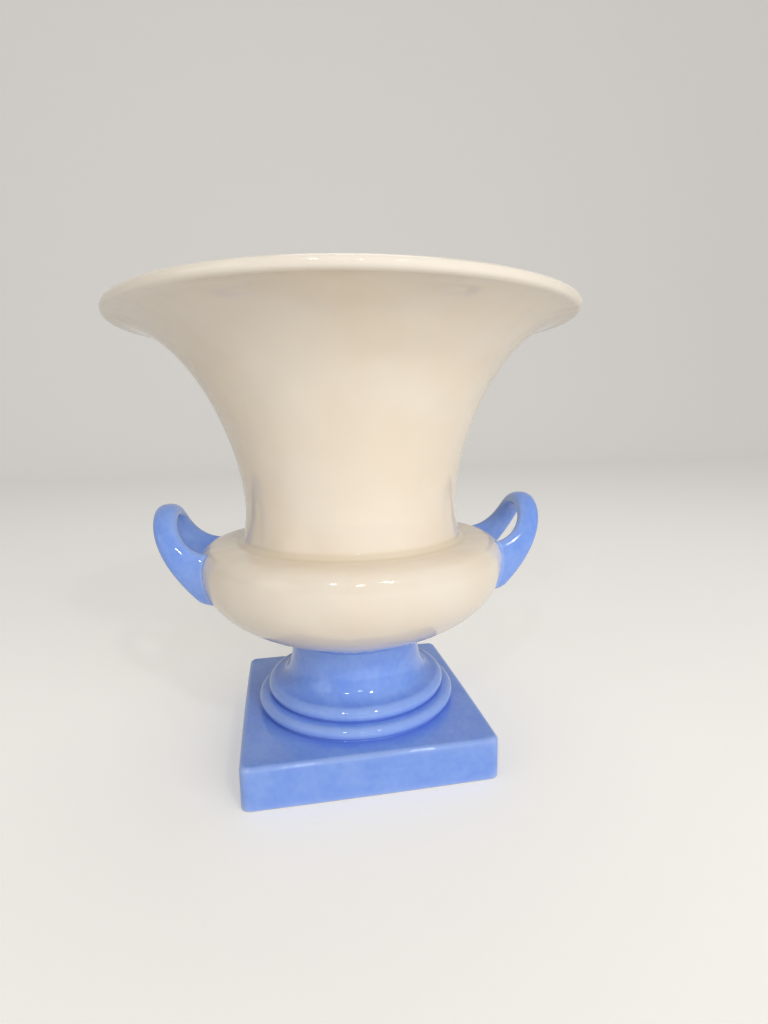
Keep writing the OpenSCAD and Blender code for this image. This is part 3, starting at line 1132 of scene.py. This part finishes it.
dress(ivory_body, ivory_material, "vase_body")
dress(blue_foot, blue_material, "pedestal_foot")
dress(foot_slip_ring, joint_material, "foot_joint_slip")
for node_name, handle in handles.items():
    dress(handle, blue_material, node_name)
for node_name, joint in joints.items():
    dress(joint, joint_material, node_name)

# %% [markdown]
# ## Floor and backdrop
#
# The vase stands on a plain pale sweep, as in a small studio: a floor that curves up into a backdrop, so
# no edge shows behind the vase. It is one strip, extruded from a line along its curved section.

# %% Make the sweep
sweep_half_width = 4.0
floor_front = -2.0
floor_back = 1.6
bend_r = 0.8
backdrop_top = 3.5
sweep_glow = 0.37

section_points = [Vector((floor_front, 0)), Vector((floor_back, 0))]
section_points += round_edge(Vector((floor_back, bend_r)), bend_r, -90, 0, 24)[1:]
section_points += [Vector((floor_back + bend_r, backdrop_top))]
bm = bmesh.new()
line = [bm.verts.new((-sweep_half_width, p.x, p.y)) for p in section_points]
line_edges = [bm.edges.new(pair) for pair in zip(line, line[1:])]
made = bmesh.ops.extrude_edge_only(bm, edges=line_edges)["geom"]
moved = [v for v in made if isinstance(v, bmesh.types.BMVert)]
bmesh.ops.translate(bm, verts=moved, vec=(2 * sweep_half_width, 0, 0))
bmesh.ops.recalc_face_normals(bm, faces=bm.faces)
studio_sweep = keep_as_object(bm, "studio_sweep")

sweep_material = bpy.data.materials.new("studio_paper")
sweep_material.use_nodes = True
paper_tree = sweep_material.node_tree
paper = paper_tree.nodes["Principled BSDF"]
paper.inputs["Base Color"].default_value = linear(228, 226, 222)
paper.inputs["Roughness"].default_value = 0.9
paper.inputs["Specular IOR Level"].default_value = 0.1
paper.inputs["Emission Color"].default_value = linear(240, 238, 234)
ray = paper_tree.nodes.new("ShaderNodeLightPath")
seen = calculate(paper_tree, "MAXIMUM", ray.outputs["Is Camera Ray"], ray.outputs["Is Glossy Ray"])
glow = calculate(paper_tree, "MULTIPLY", seen, sweep_glow)
feed(paper_tree, paper.inputs["Emission Strength"], glow)
studio_sweep.data.materials.append(sweep_material)

# %% [markdown]
# ## Light
#
# The vase is lit by a large round lamp in front on the right, which leaves the bell's left side in a
# gentle shade. A weaker lamp fills from the left, and a high one rounds off the lip and the shoulder. The
# mirror image of the large lamp would be a white patch on the bell, so most of its light comes from a
# lamp that mirror images leave out, and a dimmer one in the same place gives the sheen. Three small
# bright lamps are mirrored as sharp glints on every round place. The even light of the world keeps the
# shadows open. Together they light a surface at about the level at which its colour shows as it is
# written.

# %% Place the lamps


def soft_lamp(name, place, aim, size, power, colour=(1.0, 1.0, 1.0), in_mirror=True):
    """A round lamp that faces a point, and may be left out of mirror images."""
    data = bpy.data.lights.new(name, "AREA")
    data.shape = "DISK"
    data.size = size
    data.energy = power
    data.color = colour
    lamp = bpy.data.objects.new(name, data)
    lamp.visible_glossy = in_mirror
    lamp.location = place
    lamp.rotation_euler = (Vector(aim) - Vector(place)).to_track_quat("-Z", "Y").to_euler()
    bpy.context.scene.collection.objects.link(lamp)
    return lamp


middle = (0, 0, 0.12)
soft_lamp("key_lamp", (0.62, -1.25, 0.42), middle, 1.3, 9.5, (1.0, 0.995, 0.99), in_mirror=False)
soft_lamp("sheen_lamp", (0.62, -1.25, 0.42), middle, 1.3, 3.5, (1.0, 0.995, 0.99))
soft_lamp("fill_lamp", (-1.1, -0.6, 0.45), middle, 0.8, 1.3, (1.0, 0.97, 0.93))
soft_lamp("top_lamp", (0.1, 0.35, 1.3), middle, 0.7, 2.0)
soft_lamp("right_glint", (0.3, -0.95, 0.8), middle, 0.07, 1.4)
soft_lamp("middle_glint", (-0.02, -1.05, 0.6), middle, 0.05, 0.7)
soft_lamp("left_glint", (-0.36, -0.9, 0.75), middle, 0.06, 0.8)

world = bpy.data.worlds.new("studio")
world.use_nodes = True
world.node_tree.nodes["Background"].inputs["Color"].default_value = linear(238, 236, 233)
world.node_tree.nodes["Background"].inputs["Strength"].default_value = 0.35
bpy.context.scene.world = world
bpy.context.scene.view_settings.view_transform = "Standard"
